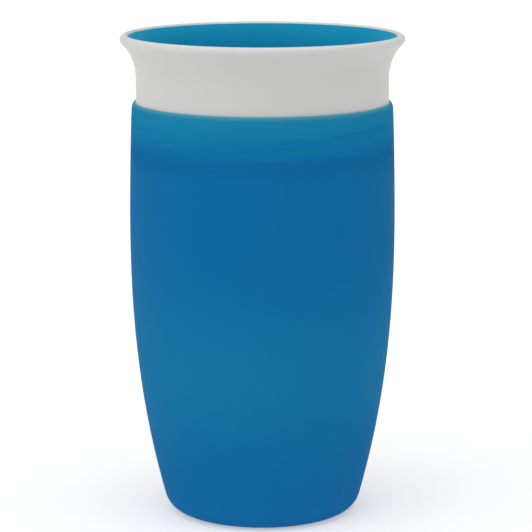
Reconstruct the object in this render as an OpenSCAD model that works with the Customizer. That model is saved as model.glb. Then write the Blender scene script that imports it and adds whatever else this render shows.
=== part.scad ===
// Spill-proof drinking cup that can be sipped from all the way round its rim.
// A frosted barrel cup takes a screw-in collar with a flared drinking rim. The
// collar holds a soft dish valve, whose edge seals against the rim, and a seal
// ring closes the joint between collar and cup.
// Millimetres, +Z up, origin in the middle of the base.

/* [Cup body] */
// Height of the cup body
cup_h = 120.6; // [110:0.2:140]
// Outside radius at the widest level
belly_r = 38.4; // [36:0.1:44]
// Level of the widest place
belly_z = 87; // [75:1:95]
// Radius that the wall loses from the widest level down to the base
base_draw = 11.05; // [7:0.05:13]
// How late the wall curves in below the widest level
base_power = 2.33; // [2:0.01:3]
// Radius that the wall loses from the widest level up to the mouth
mouth_draw = 0.75; // [0.4:0.05:0.9]
// How late the wall curves in above the widest level
mouth_power = 1.5; // [1.2:0.1:2]
// Radius of the rounded heel
heel_r = 6.4; // [4:0.2:8]
// Wall thickness below the thread
wall_t = 2.2; // [2:0.1:2.6]
// Wall thickness at the mouth
mouth_t = 1.05; // [0.95:0.05:1.1]
// Height of the rounded outer edge of the mouth
mouth_round_h = 2.2; // [1:0.1:2.6]
// Thickness of the floor
floor_t = 2.4; // [1.8:0.1:3.4]
// Radius of the rounded corner inside, between floor and wall
inner_heel_r = 5; // [3:0.5:6]
// Width of the flat ring that the cup stands on
foot_w = 3.5; // [2:0.5:6]
// Depth of the recess inside the foot ring
foot_h = 1; // [0.6:0.1:1.6]
// Radius of the moulding gate's dimple under the floor
gate_r = 2.5; // [1.5:0.5:4]
// Depth of the gate dimple
gate_h = 0.5; // [0.3:0.1:0.8]

/* [Collar] */
// Height of the drinking rim over the mouth of the cup
rim_h = 19.4; // [18:0.2:22]
// How far the drinking rim stands out past the mouth of the cup
rim_out = 3.22; // [2.6:0.02:3.6]
// Radius of the lip's rounded outside
lip_bead = 1.4; // [1.2:0.1:1.6]
// Radius of the lip's rounded inside
lip_in_bead = 0.6; // [0.5:0.1:0.9]
// Height over the mouth at which the neck starts to flare
flare_h = 7.2; // [6:0.2:8]
// Wall thickness of the neck
neck_t = 2.2; // [2:0.1:2.4]
// Radial gap between the collar and the mouth of the cup
collar_gap = 0.2; // [0.15:0.05:0.3]
// Depth of the collar's skirt below the mouth
skirt_h = 12.4; // [12:0.1:13]
// Depth below the mouth at which the full-width plug begins
plug_h = 4.7; // [4.6:0.1:5]
// Wall thickness of the skirt
skirt_t = 2; // [1.6:0.1:2.2]
// Height of the spoked floor's upper face over the mouth
deck_h = 5.4; // [4.8:0.1:5.8]
// Thickness of the spoked floor
deck_t = 2.4; // [2:0.1:3]
// Number of windows that let the drink through
windows = 6; // [4:2:8]
// Width of the spokes
spoke_w = 4; // [3:0.5:5]
// Radius at which the windows end
window_r = 30; // [27:0.5:31]
// Outside radius of the hub
hub_r = 9; // [8:0.5:11]
// Radius of the hub's bore
hub_bore_r = 5; // [4.5:0.1:6]
// Height of the hub over the spoked floor
hub_up = 2.4; // [2:0.1:2.8]
// Length of the hub below the spoked floor
hub_down = 1.8; // [1.4:0.1:2.4]

/* [Thread] */
// Rise of the collar in one full turn
lead = 9; // [8.8:0.1:9.2]
// Depth of a thread ridge
ridge_h = 1.1; // [0.9:0.1:1.2]
// Width of a ridge at its root
ridge_root_w = 2.2; // [2:0.1:2.4]
// Width of a ridge at its crest
ridge_crest_w = 1.1; // [0.8:0.1:1.3]
// Gap between a crest and the opposite root
crest_gap = 0.3; // [0.2:0.05:0.35]
// Depth below the mouth of the collar's thread at angle 0
collar_thread_drop = 12.55; // [12.4:0.05:12.7]

/* [Seal ring] */
// Thickness of the ring as it sits squeezed in the joint
ring_t = 1.3; // [1.2:0.05:1.3]
// Clearance inside and outside the squeezed ring
ring_gap = 0.05; // [0.03:0.01:0.08]
// Width of the ring's groove
groove_w = 1.7; // [1.6:0.1:1.8]
// Depth of the groove's middle below the mouth
groove_drop = 2.25; // [2.2:0.05:2.4]

/* [Valve] */
// Thickness of the valve's wall and floor
valve_t = 1.4; // [1.2:0.1:1.6]
// Gap that the drink rises through, between valve and collar
flow_gap = 1.2; // [0.9:0.1:1.4]
// Gap between the sealing edge and the rim
seal_gap = 0.12; // [0.08:0.01:0.2]
// How far the sealing edge ends below the rim
valve_sink = 0.5; // [0.4:0.05:1.2]
// Width of the sealing edge across its top
edge_t = 0.8; // [0.6:0.1:1]
// Height of the band that seals against the rim
seal_band_h = 2.6; // [2:0.1:3]
// Height over the hub at which the valve's floor sits
valve_rest = 0.3; // [0.2:0.1:0.5]
// Radius of the rounded corner between the valve's floor and wall
valve_corner_r = 4; // [3:0.5:5]
// Radius of the plug's neck, inside the hub
stem_r = 4.2; // [3.8:0.1:4.4]
// Clearance around the plug's bead as it passes the hub
bead_gap = 0.05; // [0.03:0.01:0.1]
// Length of the plug below the hub
plug_tip_h = 3.6; // [3:0.2:5]
// Radius of the hollow in the plug
plug_hollow_r = 2.4; // [1.8:0.1:2.6]

/* [Hidden] */
$fn = 128;

// Points on a wall's long curve, and on a round corner
curve_steps = 16;
corner_steps = 8;

mouth_r = belly_r - mouth_draw;
bore_r = mouth_r - mouth_t;
inner_floor_z = foot_h + floor_t;
ledge_gap = 0.3;
ledge_z = cup_h - skirt_h - ledge_gap;
land_t = 0.15;
recess_corner = 1;

top_z = cup_h + rim_h;
collar_r = bore_r - collar_gap;
neck_in_r = collar_r - neck_t;
flare_z = cup_h + flare_h;
skirt_z = cup_h - skirt_h;
plug_z = cup_h - plug_h;
deck_z = cup_h + deck_h;
deck_low_z = deck_z - deck_t;
deck_sunk = 0.5;
chamfer = 0.4;
lip_r = mouth_r + rim_out - lip_bead;
lip_z = top_z - lip_bead;
lip_in_z = top_z - lip_in_bead;

// Radii of the arcs that leave the neck upright and end tangent to the lip's circles,
// one on the outside and one on the inside of the collar
flare_rise = lip_z - flare_z;
flare_out = lip_r - collar_r;
outer_flare_r = (flare_out ^ 2 + flare_rise ^ 2 - lip_bead ^ 2) / (2 * (flare_out + lip_bead));
outer_flare_x = collar_r + outer_flare_r;
outer_flare_a = atan2(flare_rise, outer_flare_x - lip_r);
flare_in_rise = lip_in_z - flare_z;
flare_in = lip_r - neck_in_r;
inner_flare_r = (flare_in ^ 2 + flare_in_rise ^ 2 - lip_in_bead ^ 2) / (2 * (flare_in - lip_in_bead));
inner_flare_x = neck_in_r + inner_flare_r;
inner_flare_a = atan2(flare_in_rise, inner_flare_x - lip_r);

starts = 2;
pitch = lead / starts;
thread_step = 6;
fade_steps = 4;
fade_least = 0.15;
root_sunk = 0.3;
collar_root_r = bore_r - ridge_h - crest_gap;
collar_thread_z = cup_h - collar_thread_drop;
cup_thread_z = collar_thread_z + pitch / 2;
thread_inset = 0.1;
collar_thread_low = skirt_z + ridge_root_w / 2 + thread_inset;
collar_thread_high = plug_z + thread_inset;
cup_thread_low = ledge_z + ridge_root_w / 2 + thread_inset;
cup_thread_high = plug_z - ridge_root_w / 2 - chamfer;

groove_z = cup_h - groove_drop;
groove_r = bore_r - ring_t - 2 * ring_gap;

hub_top_z = deck_z + hub_up;
hub_low_z = deck_low_z - hub_down;
valve_z = hub_top_z + valve_rest;
seal_top_z = top_z - valve_sink;
seal_r = inner_flare_r + seal_gap;
dish_r = inner_flare_r + flow_gap;
edge_round_r = 0.3;
bead_r = hub_bore_r - bead_gap;

// Points of an arc about [x, z], from angle a to angle b
function arc(x, z, r, a, b, n = corner_steps) =
    [for (i = [0:n]) let (t = a + (b - a) * i / n) [x + r * cos(t), z + r * sin(t)]];

// Outside radius of the cup's wall at level z
function wall_r(z) =
    belly_r - (z < belly_z
        ? base_draw * ((belly_z - z) / belly_z) ^ base_power
        : mouth_draw * ((z - belly_z) / (cup_h - belly_z)) ^ mouth_power);

// How far the wall leans out from upright at level z below the widest place
function lean(z) = atan(base_draw * base_power / belly_z * ((belly_z - z) / belly_z) ^ (base_power - 1));

// Level where a corner of radius r, standing on level base, runs into the wall
function heel_top(r, base, z, n = 5) = n == 0 ? z : heel_top(r, base, base + r * (1 - sin(lean(z))), n - 1);

// Wall from level a to level b, moved in by inset
function wall_line(inset, a, b) =
    [for (i = [0:curve_steps]) let (z = a + (b - a) * i / curve_steps) [wall_r(z) - inset, z]];

// Rounded corner between level base and the wall moved in by inset, from the base up
function heel(r, base, inset) =
    let (z = heel_top(r, base, base), a = lean(z))
    arc(wall_r(z) - inset - r * cos(a), base + r, r, -90, -a);

function reversed(list) = [for (i = [len(list) - 1:-1:0]) list[i]];

// Quarter ellipse from the wall over the outer edge of the mouth
function mouth_round() =
    let (w = mouth_t - land_t, z = cup_h - mouth_round_h)
    [for (i = [0:corner_steps]) let (a = 90 * i / corner_steps)
        [bore_r + land_t + w * cos(a), z + mouth_round_h * sin(a)]];

function cup_outline() =
    let (
        outer_heel = heel(heel_r, 0, 0),
        inner_heel = heel(inner_heel_r, inner_floor_z, wall_t),
        recess_r = outer_heel[0][0] - foot_w,
        outer_low = outer_heel[corner_steps][1],
        inner_low = inner_heel[corner_steps][1]
    )
    concat(
        [[0, foot_h], [recess_r - recess_corner, foot_h], [recess_r, 0]],
        outer_heel,
        wall_line(0, outer_low, cup_h - mouth_round_h),
        mouth_round(),
        [[bore_r, cup_h], [bore_r, ledge_z]],
        reversed(wall_line(wall_t, inner_low, ledge_z)),
        reversed(inner_heel),
        [[0, inner_floor_z]]
    );

// One ridge that winds up from level low to level high and fades out at both ends.
// level is its height at angle 0. Its root is sunk into the wall at wall.
module ridge(wall, crest, level, low, high) {
    side = sign(crest - wall);
    root = wall - side * root_sunk;
    from = (low - level) * 360 / lead;
    turn = (high - low) * 360 / lead;
    n = ceil(turn / thread_step);
    sections = [for (i = [0:n])
        let (
            a = from + turn * i / n,
            z = low + (high - low) * i / n,
            full = min(1, fade_least + (1 - fade_least) * min(i, n - i) / fade_steps),
            tip = root + (crest - root) * full,
            root_half = side * ridge_root_w / 2,
            tip_half = side * ridge_crest_w / 2
        )
        for (p = [[root, -root_half], [tip, -tip_half], [tip, tip_half], [root, root_half]])
            [p[0] * cos(a), p[0] * sin(a), z + p[1]]];
    sides = [for (i = [0:n - 1], j = [0:3])
        let (a = 4 * i + j, b = 4 * i + (j + 1) % 4)
        each [[a, b, b + 4], [a, b + 4, a + 4]]];
    last = 4 * n;
    ends = [[0, 2, 1], [0, 3, 2], [last, last + 1, last + 2], [last, last + 2, last + 3]];
    polyhedron(sections, concat(sides, ends));
}

module thread(wall, crest, level, low, high) {
    for (s = [0:starts - 1])
        rotate([0, 0, 360 * s / starts]) ridge(wall, crest, level, low, high);
}

module cup_body() {
    color("steelblue", 0.8) {
        difference() {
            rotate_extrude() polygon(cup_outline());
            cylinder(r = gate_r, h = foot_h + gate_h);
        }
        thread(bore_r, bore_r - ridge_h, cup_thread_z, cup_thread_low, cup_thread_high);
    }
}

module seal_ring() {
    color("whitesmoke")
        translate([0, 0, groove_z])
            rotate_extrude() translate([bore_r - ring_gap - ring_t / 2, 0]) circle(d = ring_t, $fn = 32);
}

function collar_outline() =
    concat(
        [
            [collar_root_r - skirt_t, skirt_z],
            [collar_root_r - chamfer, skirt_z],
            [collar_root_r, skirt_z + chamfer],
            [collar_root_r, plug_z],
            [collar_r, plug_z + chamfer],
            [collar_r, groove_z - groove_w / 2],
            [groove_r, groove_z - groove_w / 2],
            [groove_r, groove_z + groove_w / 2],
            [collar_r, groove_z + groove_w / 2]
        ],
        arc(outer_flare_x, flare_z, outer_flare_r, 180, 180 - outer_flare_a),
        arc(lip_r, lip_z, lip_bead, -outer_flare_a, 90, 2 * corner_steps),
        arc(lip_r, lip_in_z, lip_in_bead, 90, 180 - inner_flare_a),
        arc(inner_flare_x, flare_z, inner_flare_r, 180 - inner_flare_a, 180),
        [
            [neck_in_r, deck_low_z],
            [collar_root_r - skirt_t, deck_low_z - (neck_in_r - collar_root_r + skirt_t)]
        ]
    );

// Spoked floor with its hub, and the windows between the spokes
module deck() {
    difference() {
        translate([0, 0, deck_low_z]) cylinder(r = neck_in_r + deck_sunk, h = deck_t);
        difference() {
            cylinder(r = window_r, h = top_z);
            cylinder(r = hub_r, h = top_z);
            for (i = [0:windows / 2 - 1])
                rotate([0, 0, 360 / windows * (i + 0.5)])
                    translate([-window_r, -spoke_w / 2, 0]) cube([2 * window_r, spoke_w, top_z]);
        }
    }
    translate([0, 0, hub_low_z]) cylinder(r = hub_r, h = hub_top_z - hub_low_z);
}

module collar() {
    color("white") {
        rotate_extrude() polygon(collar_outline());
        thread(collar_root_r, bore_r - crest_gap, collar_thread_z, collar_thread_low, collar_thread_high);
        difference() {
            deck();
            cylinder(r = hub_bore_r, h = top_z);
        }
    }
}

// Point on a circle about the inner flare's centre, at level z
function on_flare(r, z) = [inner_flare_x - sqrt(r ^ 2 - (z - flare_z) ^ 2), z];

// Direction in which an arc ends that leaves point a in direction t and runs tangent onto
// the upper left of a circle of radius r about c. u is a first guess.
function arc_end(a, t, c, r, u, n = 5) =
    n == 0 ? u
    : let (b = c + r * [cos(u + 90), sin(u + 90)])
        arc_end(a, t, c, r, 2 * atan2(b[1] - a[1], b[0] - a[0]) - t, n - 1);

function valve_outline() =
    let (
        band_low = seal_top_z - seal_band_h,
        step_low = band_low - flow_gap,
        top_a = asin((step_low - flare_z) / dish_r),
        band_a = asin((band_low - flare_z) / seal_r),
        seal_a = asin((seal_top_z - flare_z) / seal_r),
        edge_mid = on_flare(seal_r, seal_top_z) - [edge_t, edge_round_r],
        corner = on_flare(dish_r + valve_corner_r, valve_z + valve_corner_r),
        corner_in_r = valve_corner_r - valve_t,
        floor_z = valve_z + valve_t,
        out_a = atan2(corner[1] - flare_z, inner_flare_x - corner[0]),
        foot = corner + corner_in_r * [cos(out_a), -sin(out_a)],
        up = 90 - out_a,
        end = arc_end(foot, up, edge_mid, edge_round_r, up / 2),
        head = edge_mid + edge_round_r * [cos(end + 90), sin(end + 90)],
        inside_r = norm(head - foot) / (2 * sin((up - end) / 2)),
        inside = foot + inside_r * [sin(up), -cos(up)],
        n = corner_steps
    )
    concat(
        [
            [0, hub_low_z - plug_tip_h],
            [plug_hollow_r, hub_low_z - plug_tip_h],
            [bead_r, hub_low_z - plug_tip_h / 3],
            [bead_r, hub_low_z - valve_rest],
            [stem_r, hub_low_z + valve_rest],
            [stem_r, valve_z]
        ],
        arc(corner[0], corner[1], valve_corner_r, -90, -out_a),
        arc(inner_flare_x, flare_z, dish_r, 180 - out_a, 180 - top_a, n),
        arc(inner_flare_x, flare_z, seal_r, 180 - band_a, 180 - seal_a, n),
        arc(edge_mid[0], edge_mid[1], edge_round_r, 90, end + 90, n),
        arc(inside[0], inside[1], inside_r, end + 90, up + 90),
        arc(corner[0], corner[1], corner_in_r, -out_a, -90),
        [
            [plug_hollow_r, floor_z],
            [plug_hollow_r, hub_low_z],
            [0, hub_low_z]
        ]
    );

module valve() {
    color("deepskyblue") rotate_extrude() polygon(valve_outline());
}

cup_body();
seal_ring();
collar();
valve();
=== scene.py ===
"""Looks of a spill-proof drinking cup: a frosted cup, a white collar, a soft valve and a seal ring."""

import math

import bpy
import numpy as np
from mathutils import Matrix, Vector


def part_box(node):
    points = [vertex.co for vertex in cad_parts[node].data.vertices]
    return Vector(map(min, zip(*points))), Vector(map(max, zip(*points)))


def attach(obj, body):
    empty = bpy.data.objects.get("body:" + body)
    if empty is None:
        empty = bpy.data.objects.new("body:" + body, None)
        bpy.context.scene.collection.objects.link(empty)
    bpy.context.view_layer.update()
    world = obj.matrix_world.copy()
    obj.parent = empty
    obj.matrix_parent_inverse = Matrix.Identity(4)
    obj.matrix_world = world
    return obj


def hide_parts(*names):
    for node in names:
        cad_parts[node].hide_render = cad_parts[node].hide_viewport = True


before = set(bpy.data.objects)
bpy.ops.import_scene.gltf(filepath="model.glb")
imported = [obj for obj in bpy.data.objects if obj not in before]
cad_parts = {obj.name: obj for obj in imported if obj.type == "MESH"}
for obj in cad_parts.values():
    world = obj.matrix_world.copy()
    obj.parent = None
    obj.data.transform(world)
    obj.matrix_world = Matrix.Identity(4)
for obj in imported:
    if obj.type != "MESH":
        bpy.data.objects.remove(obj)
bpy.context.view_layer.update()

# Sizes are in millimetres, as in the CAD model, and become metres when a mesh is made.
MM = 0.001

# Cup body
CUP_H = round(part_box("cup_body")[1].z / MM, 1)
BELLY_R = round(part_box("cup_body")[1].x / MM, 1)
BELLY_Z = 87.0
BASE_DRAW = 11.05
BASE_POWER = 2.33
MOUTH_DRAW = 0.75
MOUTH_POWER = 1.5
HEEL_R = 6.4
WALL_T = 2.2
MOUTH_T = 1.05
MOUTH_ROUND_H = 2.2
LAND_T = 0.15
FLOOR_T = 2.4
INNER_HEEL_R = 5.0
FOOT_W = 3.5
FOOT_H = 1.0
GATE_R = 2.5
GATE_H = 0.5
GATE_EDGE_R = 0.2
LAND_DEPTHS = (0.1, 1.0, 3.0)
MOUTH_R = BELLY_R - MOUTH_DRAW
BORE_R = MOUTH_R - MOUTH_T
LEDGE_Z = CUP_H - 12.7
INNER_FLOOR_Z = FOOT_H + FLOOR_T

# Collar
TOP_Z = round(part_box("collar")[1].z / MM, 1)
LIP_BEAD = 1.4
LIP_IN_BEAD = 0.6
LIP_R = round(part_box("collar")[1].x / MM, 2) - LIP_BEAD
LIP_Z = TOP_Z - LIP_BEAD
LIP_IN_Z = TOP_Z - LIP_IN_BEAD
COLLAR_R = BORE_R - 0.2
NECK_IN_R = COLLAR_R - 2.2
FLARE_Z = CUP_H + 7.2
SKIRT_Z = CUP_H - 12.4
PLUG_Z = CUP_H - 4.7
ROOT_R = BORE_R - 1.4
SKIRT_IN_R = ROOT_R - 2.0
DECK_Z = CUP_H + 5.4
DECK_LOW_Z = DECK_Z - 2.4
WINDOWS = 6
WINDOW_R = 30.0
SPOKE_W = 4.0
HUB_R = 9.0
HUB_BORE_R = 5.0
HUB_TOP_Z = DECK_Z + 2.4
HUB_LOW_Z = DECK_LOW_Z - 1.8
RING_FILLET = 3.0
HUB_FILLET = 1.6

# Thread
LEAD = 9.0
STARTS = 2
RIDGE_H = 1.1
CREST_GAP = 0.3
RIDGE_ROOT_HALF = 1.1
RIDGE_CREST_HALF = 0.55
COLLAR_THREAD_Z = CUP_H - 12.55
CUP_THREAD_Z = COLLAR_THREAD_Z + LEAD / STARTS / 2
COLLAR_THREAD = (SKIRT_Z + 1.2, PLUG_Z + 0.1)
CUP_THREAD = (LEDGE_Z + 1.2, PLUG_Z - 1.5)
FADE_H = 0.6

# Seal ring
RING_T = 1.3
RING_GAP = 0.05
GROOVE_Z = CUP_H - 2.25
GROOVE_HALF = 0.85
GROOVE_R = BORE_R - RING_T - 2 * RING_GAP

# Valve
VALVE_T = 1.4
FLOW_GAP = 1.2
SEAL_GAP = 0.12
VALVE_TOP_Z = TOP_Z - 0.5
EDGE_T = 0.8
EDGE_ROUND_R = 0.3
SEAL_BAND_H = 2.6
VALVE_Z = HUB_TOP_Z + 0.3
VALVE_CORNER_R = 4.0
STEM_R = 4.2
BEAD_R = HUB_BORE_R - 0.05
PLUG_TIP_Z = HUB_LOW_Z - 3.6
PLUG_HOLLOW_R = 2.4
PANEL_R = (12.0, 25.0)
PANEL_H = 0.35
PANEL_SLOPE = 0.4

# How finely the outlines and the turned meshes are cut
COLUMNS = 288
WALL_ROWS = 60
INSIDE_ROWS = 40
CUP_THREAD_ROWS = 42
COLLAR_THREAD_ROWS = 38
FLARE_ROWS = 24
RING_ROWS = 28
SHARP_ANGLE = 50
CLOSE = 1e-6


# ---------------------------------------------------------------- outlines

def arc(x, z, r, start, end, steps):
    """Points of an arc about (x, z), angles in degrees."""
    turn = [math.radians(start + (end - start) * i / steps) for i in range(steps + 1)]
    return [(x + r * math.cos(t), z + r * math.sin(t)) for t in turn]


def span(a, b, steps):
    return [a + (b - a) * i / steps for i in range(steps + 1)]


def rounded(corners, steps=5):
    """A line through corners (r, z, radius), with each corner that has a radius rounded to it."""
    points = [corners[0][:2]]
    for before, corner, after in zip(corners, corners[1:], corners[2:]):
        p = np.array(corner[:2])
        if corner[2] <= 0:
            points.append(tuple(p))
            continue
        u, v = np.array(before[:2]) - p, np.array(after[:2]) - p
        lu, lv = np.linalg.norm(u), np.linalg.norm(v)
        u, v = u / lu, v / lv
        half = math.acos(max(-1.0, min(1.0, float(u @ v)))) / 2
        reach = min(corner[2] / math.tan(half), 0.48 * lu, 0.48 * lv)
        radius = reach * math.tan(half)
        middle = p + (u + v) / np.linalg.norm(u + v) * radius / math.sin(half)
        a, b = p + u * reach - middle, p + v * reach - middle
        swing = math.pi - 2 * half
        for i in range(steps + 1):
            t = i / steps
            mix = (a * math.sin((1 - t) * swing) + b * math.sin(t * swing)) / math.sin(swing)
            points.append(tuple(middle + mix))
    points.append(corners[-1][:2])
    return points


def wall_r(z):
    """Outside radius of the cup's wall at level z."""
    if z < BELLY_Z:
        return BELLY_R - BASE_DRAW * ((BELLY_Z - z) / BELLY_Z) ** BASE_POWER
    return BELLY_R - MOUTH_DRAW * ((z - BELLY_Z) / (CUP_H - BELLY_Z)) ** MOUTH_POWER


def wall_lean(z):
    return math.atan(BASE_DRAW * BASE_POWER / BELLY_Z * ((BELLY_Z - z) / BELLY_Z) ** (BASE_POWER - 1))


def heel(radius, base, inset, steps):
    """Rounded corner between level base and the wall moved in by inset, from the base up."""
    z = base
    for _ in range(8):
        z = base + radius * (1 - math.sin(wall_lean(z)))
    a = wall_lean(z)
    return arc(wall_r(z) - inset - radius * math.cos(a), base + radius, radius, -90, -math.degrees(a), steps)


def wall_line(inset, low, high, steps):
    return [(wall_r(z) - inset, z) for z in span(low, high, steps)]


def flare(neck, lip_z, bead):
    """Radius, centre and sweep of the arc that leaves the neck upright and runs tangent into the lip."""
    out, rise = LIP_R - neck, lip_z - FLARE_Z
    radius = (out**2 + rise**2 - bead**2) / (2 * (out + bead))
    return radius, neck + radius, math.degrees(math.atan2(rise, neck + radius - LIP_R))


OUTER_FLARE_R, OUTER_FLARE_X, OUTER_FLARE_A = flare(COLLAR_R, LIP_Z, LIP_BEAD)
INNER_FLARE_R, INNER_FLARE_X, INNER_FLARE_A = flare(NECK_IN_R, LIP_IN_Z, -LIP_IN_BEAD)


def on_flare(r, z):
    """Point at level z on a circle about the inner flare's centre."""
    return INNER_FLARE_X - math.sqrt(r**2 - (z - FLARE_Z) ** 2), z


def plain(points):
    return [(r, z, "plain") for r, z in points]


def as_kind(points, kind):
    return [(r, z, kind) for r, z in points]


# ---------------------------------------------------------------- meshes

def helix(z, turn, level, low, high):
    """How high a thread ridge stands, from 0 to 1, at level z and at each angle in turn."""
    height = np.zeros_like(turn)
    for start in range(STARTS):
        for whole in (-2, -1, 0, 1, 2):
            middle = level + LEAD * (turn / (2 * math.pi) - start / STARTS + whole)
            slope = (RIDGE_ROOT_HALF - np.abs(z - middle)) / (RIDGE_ROOT_HALF - RIDGE_CREST_HALF)
            slope = np.clip(slope, 0, 1)
            fade = np.clip(np.minimum(middle - low, high - middle) / FADE_H, 0, 1)
            height = np.maximum(height, slope * slope * (3 - 2 * slope) * fade)
    return height


def cup_relief(r, z, turn):
    return BORE_R - RIDGE_H * helix(z, turn, CUP_THREAD_Z, *CUP_THREAD)


def collar_relief(r, z, turn):
    crest = ROOT_R + (BORE_R - CREST_GAP - ROOT_R) * helix(z, turn, COLLAR_THREAD_Z, *COLLAR_THREAD)
    return np.maximum(crest, r)


def even(r):
    return np.arange(COLUMNS) * 2 * math.pi / COLUMNS


def lathe(name, rows, closed=False, relief=None, turn_at=even, keep=None, walls=None):
    """A turned mesh from rows (r, z, kind) along its outline.

    turn_at gives the angles of a row's columns, relief the radius of a thread's rows, keep says
    which faces between two rows stay, and walls adds faces where some were left out.
    """
    points, first = [], []
    for r, z, kind in rows:
        first.append(len(points))
        if r < CLOSE:
            points.append((0.0, 0.0, z))
            continue
        turn = turn_at(r)
        radius = relief(r, z, turn) if kind == "thread" else np.full(COLUMNS, r)
        points += list(zip(radius * np.cos(turn), radius * np.sin(turn), np.full(COLUMNS, z)))
    faces = []
    for i in range(len(rows) if closed else len(rows) - 1):
        j = (i + 1) % len(rows)
        for c in range(COLUMNS):
            if keep and not keep(rows[i], rows[j], c):
                continue
            d = (c + 1) % COLUMNS
            if rows[i][0] < CLOSE:
                faces.append((first[i], first[j] + d, first[j] + c))
            elif rows[j][0] < CLOSE:
                faces.append((first[i] + c, first[i] + d, first[j]))
            else:
                faces.append((first[i] + c, first[i] + d, first[j] + d, first[j] + c))
    if walls:
        faces += walls(rows, first)
    used = sorted({v for f in faces for v in f})
    renumbered = {v: i for i, v in enumerate(used)}
    mesh = bpy.data.meshes.new(name)
    mesh.from_pydata(
        [[MM * float(x) for x in points[v]] for v in used], [], [[renumbered[v] for v in f] for f in faces]
    )
    mesh.validate()
    mesh.update()
    mesh.shade_smooth()
    piece = bpy.data.objects.new(name, mesh)
    bpy.context.scene.collection.objects.link(piece)
    mesh.set_sharp_from_angle(angle=math.radians(SHARP_ANGLE))
    normals = piece.modifiers.new("Even normals", "WEIGHTED_NORMAL")
    normals.keep_sharp = True
    return piece


def make_cup():
    outer_heel = heel(HEEL_R, 0, 0, 14)
    inner_heel = heel(INNER_HEEL_R, INNER_FLOOR_Z, WALL_T, 10)
    recess_r = outer_heel[0][0] - FOOT_W
    under = rounded([
        (0, FOOT_H + GATE_H, 0),
        (GATE_R - GATE_EDGE_R, FOOT_H + GATE_H, GATE_EDGE_R),
        (GATE_R, FOOT_H, GATE_EDGE_R),
        (recess_r - 1, FOOT_H, 0.8),
        (recess_r, 0, 0.4),
        (outer_heel[0][0], 0, 0),
    ])
    mouth_w = MOUTH_T - LAND_T
    mouth = [
        (BORE_R + LAND_T + mouth_w * math.cos(t), CUP_H - MOUTH_ROUND_H + MOUTH_ROUND_H * math.sin(t))
        for t in span(0, math.pi / 2, 10)
    ]
    thread_top, thread_low = PLUG_Z, LEDGE_Z + 0.3
    ledge_in = wall_r(LEDGE_Z) - WALL_T
    rows = plain(under[:-1] + outer_heel)
    rows += plain(wall_line(0, outer_heel[-1][1], CUP_H - MOUTH_ROUND_H, WALL_ROWS)[1:-1] + mouth)
    rows += plain([(BORE_R, CUP_H - depth) for depth in LAND_DEPTHS])
    rows += as_kind([(BORE_R, z) for z in span(thread_top, thread_low, CUP_THREAD_ROWS)], "thread")
    rows += plain(rounded([
        (BORE_R, thread_low, 0),
        (BORE_R, LEDGE_Z, 0.25),
        (ledge_in, LEDGE_Z, 0.4),
        (ledge_in, LEDGE_Z - 2, 0),
    ])[1:])
    rows += plain(wall_line(WALL_T, inner_heel[-1][1], LEDGE_Z - 3, INSIDE_ROWS)[::-1])
    rows += plain(inner_heel[::-1][1:] + [(0, INNER_FLOOR_Z)])
    return lathe("cup_shell", rows, relief=cup_relief)


def make_seal_ring():
    middle = BORE_R - RING_GAP - RING_T / 2
    return lathe("joint_seal", plain(arc(middle, GROOVE_Z, RING_T / 2, 0, 360, RING_ROWS)[:-1]), closed=True)


SECTOR = COLUMNS // WINDOWS
SPOKE_COLUMNS = 14


def spoke_half(r):
    """Half the width of a spoke at radius r, wider where it runs into the hub and into the ring."""
    grow = 0.0
    for edge, fillet in ((WINDOW_R, RING_FILLET), (HUB_R, HUB_FILLET)):
        depth = fillet - abs(edge - r)
        if depth > 0:
            grow = max(grow, fillet - math.sqrt(max(fillet**2 - depth**2, 0)))
    return SPOKE_W / 2 + grow


def spoked(r):
    """Column angles that follow the sides of the spokes at radius r. A spoke is centred half a sector in."""
    r = min(max(r, HUB_R), WINDOW_R)
    half = math.asin(spoke_half(r) / r)
    sector = 2 * math.pi / WINDOWS
    turn = []
    for w in range(WINDOWS):
        for c in range(SECTOR):
            if c <= SPOKE_COLUMNS:
                local = -half + 2 * half * c / SPOKE_COLUMNS
            else:
                local = half + (sector - 2 * half) * (c - SPOKE_COLUMNS) / (SECTOR - SPOKE_COLUMNS)
            turn.append(sector * (w + 0.5) + local)
    return np.array(turn)


def in_deck(row):
    return row[2] in ("deck_top", "deck_low")


def deck_faces(a, b, c):
    """Faces of the spoked floor are left out where a window is."""
    return not (in_deck(a) and a[2] == b[2] and c % SECTOR >= SPOKE_COLUMNS)


def window_walls(rows, first):
    """Faces round each window, from the floor's top to its underside."""
    top = [i for i, row in enumerate(rows) if row[2] == "deck_top"]
    low = [i for i, row in enumerate(rows) if row[2] == "deck_low"][::-1]
    faces = []
    for w in range(WINDOWS):
        a, b = w * SECTOR + SPOKE_COLUMNS, (w + 1) * SECTOR
        around = [(0, c) for c in range(a, b + 1)] + [(k, b) for k in range(1, len(top))]
        around += [(len(top) - 1, c) for c in range(b - 1, a - 1, -1)]
        around += [(k, a) for k in range(len(top) - 2, -1, -1)]
        for (k, c), (m, d) in zip(around, around[1:]):
            c, d = c % COLUMNS, d % COLUMNS
            faces.append((first[top[m]] + d, first[low[m]] + d, first[low[k]] + c, first[top[k]] + c))
    return faces


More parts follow.
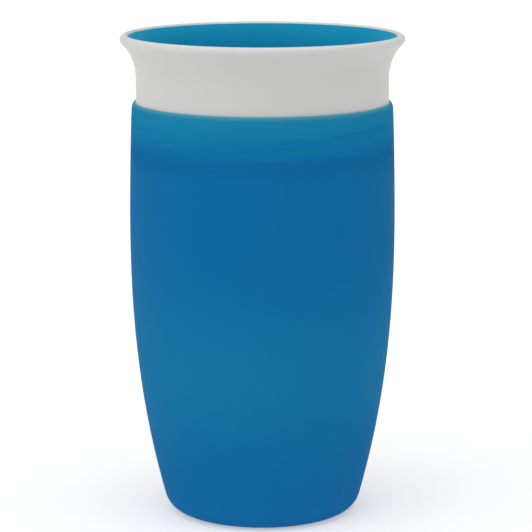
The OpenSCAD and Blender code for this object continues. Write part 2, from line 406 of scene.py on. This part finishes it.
def make_collar():
    deck_r = [WINDOW_R - d for d in (0, 0.1, 0.4, 0.9, 1.5, 2.2, 3, 6, 10, 14, 17)]
    deck_r += [HUB_R + d for d in (HUB_FILLET, 1.1, 0.7, 0.35, 0.1, 0)]
    rows = plain(rounded([
        (HUB_BORE_R, DECK_Z - 1, 0),
        (HUB_BORE_R, HUB_LOW_Z, 0.5),
        (HUB_R, HUB_LOW_Z, 0.6),
        (HUB_R, DECK_LOW_Z, 0),
    ])[:-1])
    rows += as_kind([(r, DECK_LOW_Z) for r in deck_r[::-1]], "deck_low")
    rows += plain(rounded([
        (WINDOW_R + 1.5, DECK_LOW_Z, 0),
        (NECK_IN_R, DECK_LOW_Z, 0.6),
        (SKIRT_IN_R, DECK_LOW_Z - (NECK_IN_R - SKIRT_IN_R), 0.6),
        (SKIRT_IN_R, SKIRT_Z, 0.6),
        (ROOT_R, SKIRT_Z, 0.5),
        (ROOT_R, SKIRT_Z + 1, 0),
    ])[:-1])
    rows += as_kind([(ROOT_R, z) for z in span(SKIRT_Z + 0.55, PLUG_Z, COLLAR_THREAD_ROWS)], "thread")
    shoulder = [(ROOT_R + (COLLAR_R - ROOT_R) * t, PLUG_Z + 0.4 * t) for t in span(0, 1, 4)[1:]]
    rows += as_kind(shoulder, "thread")
    low, high = GROOVE_Z - GROOVE_HALF, GROOVE_Z + GROOVE_HALF
    rows += plain(rounded([
        (COLLAR_R, PLUG_Z + 0.6, 0),
        (COLLAR_R, low, 0.15),
        (GROOVE_R, low, 0.2),
        (GROOVE_R, high, 0.2),
        (COLLAR_R, high, 0.15),
        (COLLAR_R, CUP_H + 1, 0),
    ]))
    rows += plain([(COLLAR_R, z) for z in span(CUP_H + 2, FLARE_Z - 1, 4)])
    rows += plain(arc(OUTER_FLARE_X, FLARE_Z, OUTER_FLARE_R, 180, 180 - OUTER_FLARE_A, FLARE_ROWS))
    rows += plain(arc(LIP_R, LIP_Z, LIP_BEAD, -OUTER_FLARE_A, 90, 22)[1:-1])
    rows += plain(arc(LIP_R, LIP_IN_Z, LIP_IN_BEAD, 90, 180 - INNER_FLARE_A, 8)[:-1])
    rows += plain(arc(INNER_FLARE_X, FLARE_Z, INNER_FLARE_R, 180 - INNER_FLARE_A, 180, FLARE_ROWS))
    rows += plain(rounded([
        (NECK_IN_R, FLARE_Z - 0.3, 0), (NECK_IN_R, DECK_Z, 0.8), (WINDOW_R + 1.5, DECK_Z, 0)
    ]))
    rows += as_kind([(r, DECK_Z) for r in deck_r], "deck_top")
    rows += plain(rounded([
        (HUB_R, DECK_Z, 0), (HUB_R, HUB_TOP_Z, 0.6), (HUB_BORE_R + 0.6, HUB_TOP_Z, 0.3),
        (HUB_BORE_R, HUB_TOP_Z - 0.8, 0.3), (HUB_BORE_R, DECK_Z - 0.9, 0),
    ])[1:])
    return lathe("drinking_collar", rows, True, collar_relief, spoked, deck_faces, window_walls)


def bowl(foot, up, middle, radius):
    """The arc from foot, leaving it at up degrees, that runs tangent onto a circle, from its far end."""
    end = up / 2
    for _ in range(6):
        a = math.radians(end + 90)
        head = middle[0] + radius * math.cos(a), middle[1] + radius * math.sin(a)
        end = 2 * math.degrees(math.atan2(head[1] - foot[1], head[0] - foot[0])) - up
    swing = math.radians(up - end)
    bend = math.dist(head, foot) / (2 * math.sin(swing / 2))
    u = math.radians(up)
    x, z = foot[0] + bend * math.sin(u), foot[1] - bend * math.cos(u)
    return end, arc(x, z, bend, end + 90, up + 90, 20)


def make_valve():
    dish_r = INNER_FLARE_R + FLOW_GAP
    seal_r = INNER_FLARE_R + SEAL_GAP
    band_low = VALVE_TOP_Z - SEAL_BAND_H
    step_low = band_low - FLOW_GAP
    corner = on_flare(dish_r + VALVE_CORNER_R, VALVE_Z + VALVE_CORNER_R)
    corner_in_r = VALVE_CORNER_R - VALVE_T
    floor_z = VALVE_Z + VALVE_T
    corner_a = math.degrees(math.atan2(corner[1] - FLARE_Z, INNER_FLARE_X - corner[0]))
    step_a = math.degrees(math.asin((step_low - FLARE_Z) / dish_r))
    band_a = math.degrees(math.asin((band_low - FLARE_Z) / seal_r))
    seal_a = math.degrees(math.asin((VALVE_TOP_Z - 0.1 - FLARE_Z) / seal_r))
    tip = on_flare(seal_r, VALVE_TOP_Z)
    edge = tip[0] - EDGE_T, tip[1] - EDGE_ROUND_R
    foot = arc(*corner, corner_in_r, -corner_a, -corner_a, 1)[0]
    end, inside = bowl(foot, 90 - corner_a, edge, EDGE_ROUND_R)
    plug = rounded([
        (0, PLUG_TIP_Z, 0), (PLUG_HOLLOW_R, PLUG_TIP_Z, 0.9), (BEAD_R, HUB_LOW_Z - 1.2, 0.8),
        (BEAD_R, HUB_LOW_Z - 0.3, 0.3), (STEM_R, HUB_LOW_Z + 0.3, 0.3), (STEM_R, VALVE_Z, 0.4),
        (corner[0] - 1, VALVE_Z, 0),
    ])
    rows = plug[:-1] + arc(*corner, VALVE_CORNER_R, -90, -corner_a, 12)
    rows += arc(INNER_FLARE_X, FLARE_Z, dish_r, 180 - corner_a, 180 - step_a, 12)[1:]
    rows += arc(INNER_FLARE_X, FLARE_Z, seal_r, 180 - band_a, 180 - seal_a, 8)
    rows += [(tip[0] - 0.12, VALVE_TOP_Z)]
    rows += arc(*edge, EDGE_ROUND_R, 90, end + 90, 6)
    rows += inside[1:]
    rows += arc(*corner, corner_in_r, -corner_a, -90, 10)[1:]
    rows += rounded([
        (corner[0] - 1, floor_z, 0),
        (PANEL_R[1], floor_z, 0.3),
        (PANEL_R[1] - PANEL_SLOPE, floor_z + PANEL_H, 0.3),
        (PANEL_R[0] + PANEL_SLOPE, floor_z + PANEL_H, 0.3),
        (PANEL_R[0], floor_z, 0.3),
        (PLUG_HOLLOW_R + 0.3, floor_z, 0.8),
        (PLUG_HOLLOW_R, HUB_LOW_Z, 0.8),
        (0, HUB_LOW_Z, 0),
    ])
    return lathe("soft_valve", plain(rows))


# ---------------------------------------------------------------- materials

# Light through the cup's wall: the shares let through at each face, and what is lost in its thickness
THROUGH_BARREL = 0.42
THROUGH_MOUTH = 0.8
THINNING = (LEDGE_Z - 7, LEDGE_Z + 3)
THREAD_DIMS = 0.2
RIM_DIMS = 0.14
RIM_DIMS_H = 5.0
PASSED = (0.5, 1.0, 1.0)
SOAK = 220.0
SOAK_TINT = (0.0, 0.57, 1.0)

# Painted highlight along the mouth's rounded rim, and painted light in a paler band between the belly and the
# floor, for light shining through the wall
RIM_HIGHLIGHT = (0.13, 0.3, 0.3)
RIM_HIGHLIGHT_H = 1.3
LOW_PAINTED_LIGHT = (0.0108, 0.226, 0.432)
LOW_LIGHT_LEVELS = (10.0, 45.0, 85.0)

# Painted shade: deeper colour towards the valve's top edge, where the upper wall of the dish is more brightly
# lit
EDGE_SHADE = (0.0045, 0.212, 0.366)
EDGE_SHADE_H = 9.0


def new_material(name, **sockets):
    material = bpy.data.materials.new(name)
    material.use_nodes = True
    shader = material.node_tree.nodes["Principled BSDF"]
    for socket, value in sockets.items():
        shader.inputs[socket.replace("_", " ")].default_value = value
    return material, shader


def node(material, kind, inputs=None, **values):
    made = material.node_tree.nodes.new(kind)
    for key, value in values.items():
        setattr(made, key, value)
    for key, value in (inputs or {}).items():
        made.inputs[key].default_value = value
    return made


def link(material, out, into):
    material.node_tree.links.new(out, into)


def sums(material, operation, a, b):
    """The result of a sum on two values, each a number or an output."""
    made = node(material, "ShaderNodeMath", operation=operation)
    for value, into in ((a, made.inputs[0]), (b, made.inputs[1])):
        if isinstance(value, (int, float)):
            into.default_value = value
        else:
            link(material, value, into)
    return made.outputs["Value"]


def ramp(material, value, start, end, low, high):
    """A smooth step from low to high as value goes from start to end."""
    limits = {"From Min": start, "From Max": end, "To Min": low, "To Max": high}
    made = node(material, "ShaderNodeMapRange", limits, interpolation_type="SMOOTHSTEP")
    link(material, value, made.inputs["Value"])
    return made.outputs["Result"]


def spot(material):
    """Outputs that hold the point's x, y and z on the piece."""
    split = node(material, "ShaderNodeSeparateXYZ")
    link(material, node(material, "ShaderNodeTexCoord").outputs["Object"], split.inputs["Vector"])
    return [split.outputs[axis] for axis in "XYZ"]


def noise(material, scale, detail=2.0, roughness=0.5):
    """Noise of scale features a metre, the same in every view because it is fixed to the piece."""
    place = node(material, "ShaderNodeTexCoord")
    made = node(material, "ShaderNodeTexNoise", {"Scale": scale, "Detail": detail, "Roughness": roughness})
    link(material, place.outputs["Object"], made.inputs["Vector"])
    return made.outputs["Fac"]


def mottled(material, shader, light, dark, scale):
    """Base colour that drifts between two close shades."""
    mix = node(material, "ShaderNodeMix", data_type="RGBA")
    mix.inputs["A"].default_value = (*dark, 1)
    mix.inputs["B"].default_value = (*light, 1)
    link(material, noise(material, scale), mix.inputs["Factor"])
    link(material, mix.outputs["Result"], shader.inputs["Base Color"])


def uneven_gloss(material, shader, low, high, scale):
    spread = node(material, "ShaderNodeMapRange", {"To Min": low, "To Max": high})
    link(material, noise(material, scale, 3.0), spread.inputs["Value"])
    link(material, spread.outputs["Result"], shader.inputs["Roughness"])


def grain(material, shader, scale, depth, strength=0.3):
    """Fine moulded grain, depth in metres."""
    bump = node(material, "ShaderNodeBump", {"Strength": strength, "Distance": depth})
    link(material, noise(material, scale, 3.0), bump.inputs["Height"])
    link(material, bump.outputs["Normal"], shader.inputs["Normal"])


def thread_shadow(material, x, y, z):
    """From 0 to 1, how thick the wall is behind this point, where the cup's thread stands inside it."""
    climb = sums(material, "MULTIPLY", sums(material, "ARCTAN2", y, x), MM * LEAD / (2 * math.pi))
    level = sums(material, "SUBTRACT", sums(material, "SUBTRACT", z, MM * CUP_THREAD_Z), climb)
    away = sums(material, "PINGPONG", level, MM * LEAD / STARTS / 2)
    ridge = ramp(material, away, MM * RIDGE_ROOT_HALF, MM * RIDGE_CREST_HALF, 0, 1)
    low, high = CUP_THREAD
    start = ramp(material, z, MM * (low - RIDGE_ROOT_HALF), MM * low, 0, 1)
    end = ramp(material, z, MM * (high + RIDGE_ROOT_HALF), MM * high, 0, 1)
    return sums(material, "MULTIPLY", ridge, sums(material, "MULTIPLY", start, end))


def tint(material, shader, colour, share):
    """Base colour that gives way to another where share, an output, goes from 0 to 1."""
    mix = node(material, "ShaderNodeMix", data_type="RGBA")
    mix.inputs["B"].default_value = (*colour, 1)
    link(material, shader.inputs["Base Color"].links[0].from_socket, mix.inputs["A"])
    link(material, share, mix.inputs["Factor"])
    link(material, mix.outputs["Result"], shader.inputs["Base Color"])


def frosted_plastic():
    """Light comes through this plastic, more where the wall is thin and less where the thread stands."""
    material, shader = new_material("frosted_blue_plastic", IOR=1.49, Specular_IOR_Level=0.03)
    mottled(material, shader, (0.0072, 0.190, 0.432), (0.0064, 0.178, 0.41), 22)
    uneven_gloss(material, shader, 0.52, 0.62, 60)
    grain(material, shader, 1600, 0.00003)
    through = node(material, "ShaderNodeBsdfTranslucent", {"Color": (*PASSED, 1)})
    x, y, z = spot(material)
    low, middle, high = (MM * level for level in LOW_LIGHT_LEVELS)
    lower_light = sums(
        material, "MULTIPLY", ramp(material, z, low, middle, 0, 1), ramp(material, z, middle, high, 1, 0)
    )
    # Painted light: the lower body is paler between the belly and the floor, standing in for light shining
    # through the wall
    tint(material, shader, LOW_PAINTED_LIGHT, lower_light)
    # Painted highlight: paler colour along the mouth's rounded rim
    tint(material, shader, RIM_HIGHLIGHT, ramp(material, z, MM * (CUP_H - RIM_HIGHLIGHT_H), MM * CUP_H, 0, 1))
    share = ramp(material, z, MM * THINNING[0], MM * THINNING[1], THROUGH_BARREL, THROUGH_MOUTH)
    dimmed = sums(material, "MULTIPLY", thread_shadow(material, x, y, z), THREAD_DIMS)
    share = sums(material, "SUBTRACT", share, dimmed)
    rim = ramp(material, z, MM * (CUP_H - RIM_DIMS_H), MM * CUP_H, 0, RIM_DIMS)
    share = sums(material, "SUBTRACT", share, rim)
    both = node(material, "ShaderNodeMixShader")
    link(material, share, both.inputs["Fac"])
    link(material, shader.outputs["BSDF"], both.inputs[1])
    link(material, through.outputs["BSDF"], both.inputs[2])
    out = material.node_tree.nodes["Material Output"]
    link(material, both.outputs["Shader"], out.inputs["Surface"])
    soak = node(material, "ShaderNodeVolumeAbsorption", {"Color": (*SOAK_TINT, 1), "Density": SOAK})
    link(material, soak.outputs["Volume"], out.inputs["Volume"])
    return material


def white_plastic():
    material, shader = new_material(
        "white_satin_plastic", Subsurface_Weight=0.3, Subsurface_Scale=0.002, IOR=1.49, Specular_IOR_Level=0.2
    )
    shader.inputs["Subsurface Radius"].default_value = (1.0, 0.95, 0.9)
    mottled(material, shader, (0.588, 0.588, 0.576), (0.573, 0.573, 0.56), 18)
    uneven_gloss(material, shader, 0.38, 0.5, 70)
    grain(material, shader, 1400, 0.00003)
    return material


def blue_silicone():
    material, shader = new_material(
        "blue_silicone", Subsurface_Weight=0.6, Subsurface_Scale=0.0015, IOR=1.43, Specular_IOR_Level=0.04
    )
    shader.inputs["Subsurface Radius"].default_value = (0.4, 0.8, 1.0)
    mottled(material, shader, (0.0042, 0.238, 0.412), (0.0036, 0.226, 0.394), 30)
    # Painted shade: darker colour towards the valve's top edge, where the upper wall of the dish is more
    # brightly lit
    edge = ramp(material, spot(material)[2], MM * (TOP_Z - EDGE_SHADE_H), MM * VALVE_TOP_Z, 0, 1)
    tint(material, shader, EDGE_SHADE, edge)
    uneven_gloss(material, shader, 0.5, 0.65, 90)
    grain(material, shader, 2200, 0.00002)
    return material


def milky_silicone():
    material, shader = new_material(
        "milky_silicone", Subsurface_Weight=0.4, Subsurface_Scale=0.0008, IOR=1.43, Specular_IOR_Level=0.35
    )
    shader.inputs["Subsurface Radius"].default_value = (1.0, 0.95, 0.9)
    mottled(material, shader, (0.72, 0.72, 0.70), (0.66, 0.66, 0.64), 60)
    uneven_gloss(material, shader, 0.35, 0.5, 120)
    grain(material, shader, 2500, 0.00001)
    return material


# ---------------------------------------------------------------- pieces

def place(piece, body, replaced, slot, material):
    piece.data.materials.append(material)
    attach(piece, body)
    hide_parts(replaced)


place(make_cup(), "cup", "cup_body", "cup_plastic", frosted_plastic())
place(make_seal_ring(), "seal", "seal_ring", "seal_silicone", milky_silicone())
place(make_collar(), "lid", "collar", "collar_plastic", white_plastic())
place(make_valve(), "valve", "valve", "valve_silicone", blue_silicone())


# ---------------------------------------------------------------- studio

FLOOR_HALF = 8.0
FLOOR_GLOW = 0.4
WORLD_LIGHT = 0.42
# Name, azimuth, elevation, strength, spread
SUNS = (("overhead", 0, 80, 1.9, 90), ("left", -60, 30, 0.7, 70), ("right", 80, 30, 0.2, 70))
CAMERA_AT = (0.00104, -0.718, 0.2088)
CAMERA_DOWN = 10.77
SENSOR_W = 36
LENS = 169.6


def make_floor():
    mesh = bpy.data.meshes.new("studio_floor")
    corners = [(-1, -1), (1, -1), (1, 1), (-1, 1)]
    mesh.from_pydata([(FLOOR_HALF * x, FLOOR_HALF * y, 0) for x, y in corners], [], [(0, 1, 2, 3)])
    floor = bpy.data.objects.new("studio_floor", mesh)
    bpy.context.scene.collection.objects.link(floor)
    material, shader = new_material("pale_floor", Roughness=0.9, Specular_IOR_Level=0.0)
    mottled(material, shader, (0.61, 0.61, 0.61), (0.59, 0.59, 0.59), 3)
    shader.inputs["Emission Color"].default_value = (1, 1, 1, 1)
    shader.inputs["Emission Strength"].default_value = FLOOR_GLOW
    mesh.materials.append(material)


def soft_sun(name, azimuth, elevation, strength, spread):
    """Broad light from an azimuth (0 is the viewer's side, right is positive) and elevation, in degrees."""
    light = bpy.data.lights.new(name, "SUN")
    light.energy = strength
    light.angle = math.radians(spread)
    lamp = bpy.data.objects.new(name, light)
    lamp.rotation_euler = (math.radians(90 - elevation), 0, math.radians(azimuth))
    bpy.context.scene.collection.objects.link(lamp)


def make_light():
    world = bpy.data.worlds.new("studio")
    world.use_nodes = True
    world.node_tree.nodes["Background"].inputs["Color"].default_value = (1, 1, 1, 1)
    world.node_tree.nodes["Background"].inputs["Strength"].default_value = WORLD_LIGHT
    bpy.context.scene.world = world
    for sun in SUNS:
        soft_sun(*sun)


def make_camera():
    camera = bpy.data.objects.new("camera", bpy.data.cameras.new("camera"))
    camera.data.sensor_width = SENSOR_W
    camera.data.lens = LENS
    camera.location = CAMERA_AT
    camera.rotation_euler = (math.radians(90 - CAMERA_DOWN), 0, 0)
    bpy.context.scene.collection.objects.link(camera)
    bpy.context.scene.camera = camera


make_floor()
make_light()
make_camera()
bpy.context.scene.view_settings.view_transform = "Standard"
